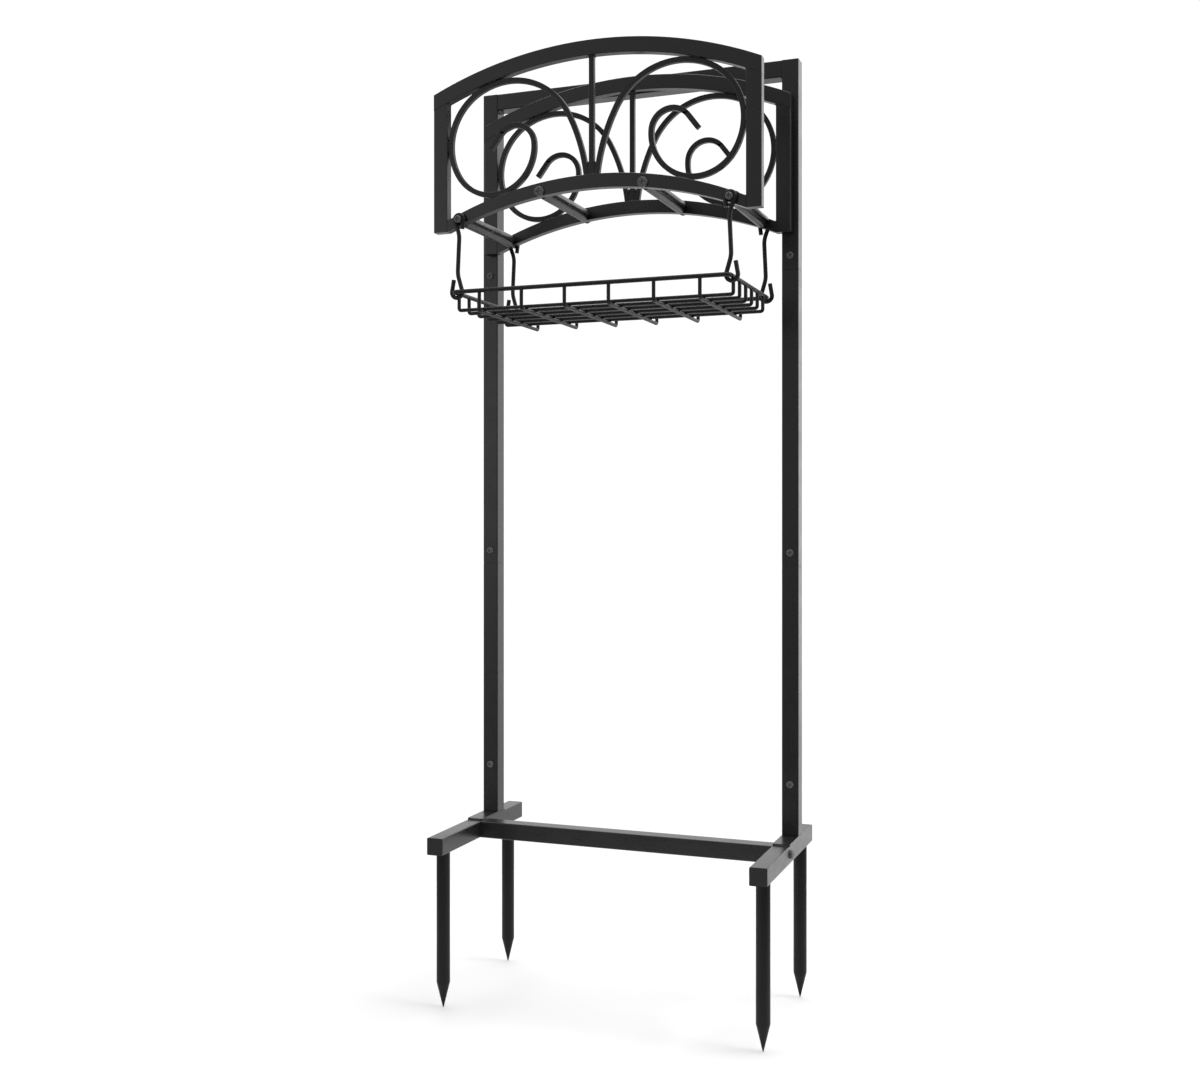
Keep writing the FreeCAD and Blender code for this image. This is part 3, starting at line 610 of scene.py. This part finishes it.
def panel_side_welds(place, side):
    """An upright's corners, and its scroll where it touches the frame, the loop and the bar."""
    sign = -1.0 if side == "left" else 1.0
    upright = place + "_upright_" + side
    scroll = place + "_scroll_" + side
    top_arch = place + "_top_arch"
    hose_arch = place + "_hose_arch"
    low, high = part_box(upright)
    inner = low.x if sign > 0 else high.x
    under_arch = TOP_ARCH_RADIUS - TOP_ARCH_DEPTH
    top_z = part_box(top_arch)[1].z - TOP_ARCH_RADIUS + math.sqrt(under_arch ** 2 - inner ** 2)
    hose_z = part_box(hose_arch)[1].z - HOSE_ARCH_RADIUS + math.sqrt(HOSE_ARCH_RADIUS ** 2 - inner ** 2)
    runs = [across(inner, top_z, low.y, high.y, CORNER_BEAD),
            across(inner, hose_z, low.y, high.y, CORNER_BEAD)]
    runs.extend(tangent_runs(scroll, upright, anywhere))
    runs.extend(tangent_runs(scroll, top_arch, anywhere))
    runs.extend(tangent_runs(scroll, hose_arch, beyond_the_foot))

    foot, _ = closest(scroll, hose_arch, at_the_foot)
    low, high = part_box(scroll)
    runs.append(across(foot.x + sign * FOOT_REACH, foot.z - FOOT_DROP, low.y, high.y, THIN_BEAD))
    bar_low, bar_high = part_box(place + "_centre_bar")
    rise = Vector((sign * WEDGE_LEAN, 0.0, WEDGE_HEIGHT))
    for y in (low.y + WEDGE_INSET, high.y - WEDGE_INSET):
        base = Vector((sign * bar_high.x, y, bar_low.z))
        runs.append(([base, base + rise], WEDGE_BEAD, False))
    return runs


def panel_welds(place, material, seed):
    runs = []
    for side in SIDES:
        runs.extend(panel_side_welds(place, side))
    low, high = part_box(place + "_centre_bar")
    runs.append((loop_round(low, high, high.z - BAR_HEAD_DROP), THIN_BEAD, True))
    runs.append((loop_round(low, high, low.z + BAR_FOOT_RISE), THIN_BEAD, True))
    weld_piece(place + "_panel_welds", runs, "stand", material, seed)


def frame_welds(material, seed):
    """The top frame's corners, and the plates on the feet."""
    runs = []
    low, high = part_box("frame_crossbar")
    rear_y = high.y - CROSSBAR_INSET
    for x in (low.x, high.x):
        runs.append(across(x, low.z, low.y, high.y, CORNER_BEAD))
        rear = [Vector((x, rear_y, low.z)), Vector((x, rear_y, high.z - CORNER_BEAD))]
        runs.append((rear, THIN_BEAD, False))
    for side in SIDES:
        low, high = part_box("base_plate_" + side)
        left, right = low.x + CORNER_BEAD, high.x - CORNER_BEAD
        for y in (low.y, high.y):
            ends = [Vector((left, y, low.z)), Vector((right, y, low.z))]
            runs.append((ends, THIN_BEAD, False))
    weld_piece("frame_welds", runs, "stand", material, seed)


def saddle_tacks(material, seed):
    """Short beads along both sides of each hose bar, under its saddle."""
    runs = []
    for row in BAR_ROWS:
        for side in SIDES:
            low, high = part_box("hose_saddle_" + row + "_" + side)
            rod_low, rod_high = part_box("hose_rod_" + row + "_" + side)
            for x in (rod_low.x, rod_high.x):
                for share in TACK_SHARES:
                    y = low.y + (high.y - low.y) * share
                    ends = [Vector((x, y - TACK_HALF, low.z)), Vector((x, y + TACK_HALF, low.z))]
                    runs.append((ends, TACK_BEAD, False))
    weld_piece("saddle_tacks", runs, "stand", material, seed)


def ring(x, y, z):
    """A closed run just inside a mesh wire's surface."""
    radius = MESH_RADIUS - RING_INSET
    points = []
    for i in range(RING_STEPS):
        turn = math.tau * i / RING_STEPS
        points.append(Vector((x, y, z)) + Vector((math.cos(turn), math.sin(turn), 0.0)) * radius)
    return (points, RING_BEAD, True)


def evenly(low, high, count):
    return [low + (high - low) * i / (count - 1) for i in range(count)]


def basket_welds(material, seed):
    """Spot welds where wires cross, and a bead round each wire where it meets the rim."""
    long_low, long_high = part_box("basket_long_wires")
    cross_low, cross_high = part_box("basket_cross_wires")
    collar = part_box("basket_rim")[0].z + RING_RISE
    rows = evenly(long_low.y + MESH_RADIUS, long_high.y - MESH_RADIUS, LONG_WIRES)
    columns = evenly(cross_low.x + MESH_RADIUS, cross_high.x - MESH_RADIUS, CROSS_WIRES)
    slant = Vector((SPOT_HALF, SPOT_HALF, 0.0))
    runs = []
    for y in rows:
        for x in columns:
            centre = Vector((x, y, long_low.z))
            runs.append(([centre - slant, centre + slant], SPOT_BEAD, False))
    for y in rows:
        for x in (long_low.x + MESH_RADIUS, long_high.x - MESH_RADIUS):
            runs.append(ring(x, y, collar))
    for x in columns:
        for y in (cross_low.y + MESH_RADIUS, cross_high.y - MESH_RADIUS):
            runs.append(ring(x, y, collar))
    weld_piece("basket_welds", runs, "basket", material, seed)


# ---------------------------------------------------------------- studio

def studio_floor():
    mesh = bpy.data.meshes.new("studio_floor")
    rim = []
    for i in range(FLOOR_STEPS):
        turn = math.tau * i / FLOOR_STEPS
        rim.append((FLOOR_RADIUS * math.cos(turn), FLOOR_RADIUS * math.sin(turn), 0.0))
    mesh.from_pydata(rim, [], [tuple(range(FLOOR_STEPS))])
    mesh.materials.append(pale_floor("floor_paint"))
    floor = bpy.data.objects.new("studio_floor", mesh)
    floor.location.z = CAD_LOW.z - FLOOR_GAP
    bpy.context.scene.collection.objects.link(floor)


def soft_light(name, place, aim, size, power):
    lamp = bpy.data.lights.new(name, "AREA")
    lamp.shape = "RECTANGLE"
    lamp.size = size
    lamp.size_y = size
    lamp.energy = power
    light = bpy.data.objects.new(name, lamp)
    light.location = place
    light.rotation_euler = (Vector(aim) - Vector(place)).to_track_quat("-Z", "Y").to_euler()
    bpy.context.scene.collection.objects.link(light)


def studio_world():
    """White seen directly; for light and gloss, bright behind the holder and dim in front of it."""
    world = bpy.data.worlds.new("studio")
    world.use_nodes = True
    bpy.context.scene.world = world
    graph = Graph(world.node_tree)
    direction = graph.nodes.new("ShaderNodeTexCoord")
    parts = graph.nodes.new("ShaderNodeSeparateXYZ")
    graph.links.new(direction.outputs["Generated"], parts.inputs["Vector"])
    x, y, z = (parts.outputs[axis] for axis in "XYZ")

    # a brighter glow behind and a little to the right
    glow = graph.combine("MULTIPLY", graph.spread(x, *GLOW_RISE_BY_X), graph.spread(x, *GLOW_FALL_BY_X))
    glow = graph.combine("MULTIPLY", glow, graph.spread(y, *GLOW_BY_Y))
    # a low white card to the front left
    card = graph.combine("MULTIPLY", graph.spread(x, *CARD_BY_X), graph.spread(z, *CARD_RISE_BY_Z))
    card = graph.combine("MULTIPLY", card, graph.spread(z, *CARD_FALL_BY_Z))
    card = graph.combine("MULTIPLY", card, graph.spread(y, *CARD_BY_Y))
    # low directions are dimmed, and less so towards the rear
    low = graph.combine("ADD", graph.spread(z, *LOW_BY_Z), graph.spread(y, *LOW_LIFT_BY_Y))
    low = graph.combine("MINIMUM", low, 1.0)

    level = graph.combine("ADD", graph.spread(y, *AMBIENT_BY_Y), glow)
    level = graph.combine("ADD", level, card)
    level = graph.combine("MULTIPLY", level, low)
    ray = graph.nodes.new("ShaderNodeLightPath")
    pick = graph.nodes.new("ShaderNodeMix")
    pick.data_type = "FLOAT"
    graph.links.new(ray.outputs["Is Camera Ray"], pick.inputs["Factor"])
    graph.links.new(level, pick.inputs["A"])
    pick.inputs["B"].default_value = SEEN_LEVEL
    background = graph.nodes["Background"]
    graph.links.new(pick.outputs["Result"], background.inputs["Strength"])
    background.inputs["Color"].default_value = WHITE


def studio_camera():
    """Level, at the holder's right front, framing the whole of it."""
    lens = bpy.data.cameras.new("camera")
    lens.sensor_width = SENSOR_WIDTH
    lens.lens = LENS
    lens.shift_x, lens.shift_y = SHIFT
    lens.clip_start = CLIP_START
    camera = bpy.data.objects.new("camera", lens)
    camera.location = CAMERA_PLACE
    camera.rotation_euler = (LEVEL, 0.0, CAMERA_TURN)
    bpy.context.scene.collection.objects.link(camera)
    bpy.context.scene.camera = camera


# ---------------------------------------------------------------- build

coats = make_materials()
paint_nodes(coats)
soften_all()
for number, place in enumerate(PANELS):
    panel_welds(place, coats["coated_scroll"], PANEL_SEED + number)
frame_welds(coats["coated_tube"], FRAME_SEED)
saddle_tacks(coats["coated_bar"], SADDLE_SEED)
basket_welds(coats["coated_wire"], BASKET_SEED)

studio_floor()
studio_world()
soft_light("key", **KEY_LIGHT)
soft_light("overhead", **OVERHEAD_LIGHT)
studio_camera()
bpy.context.scene.view_settings.view_transform = "Standard"
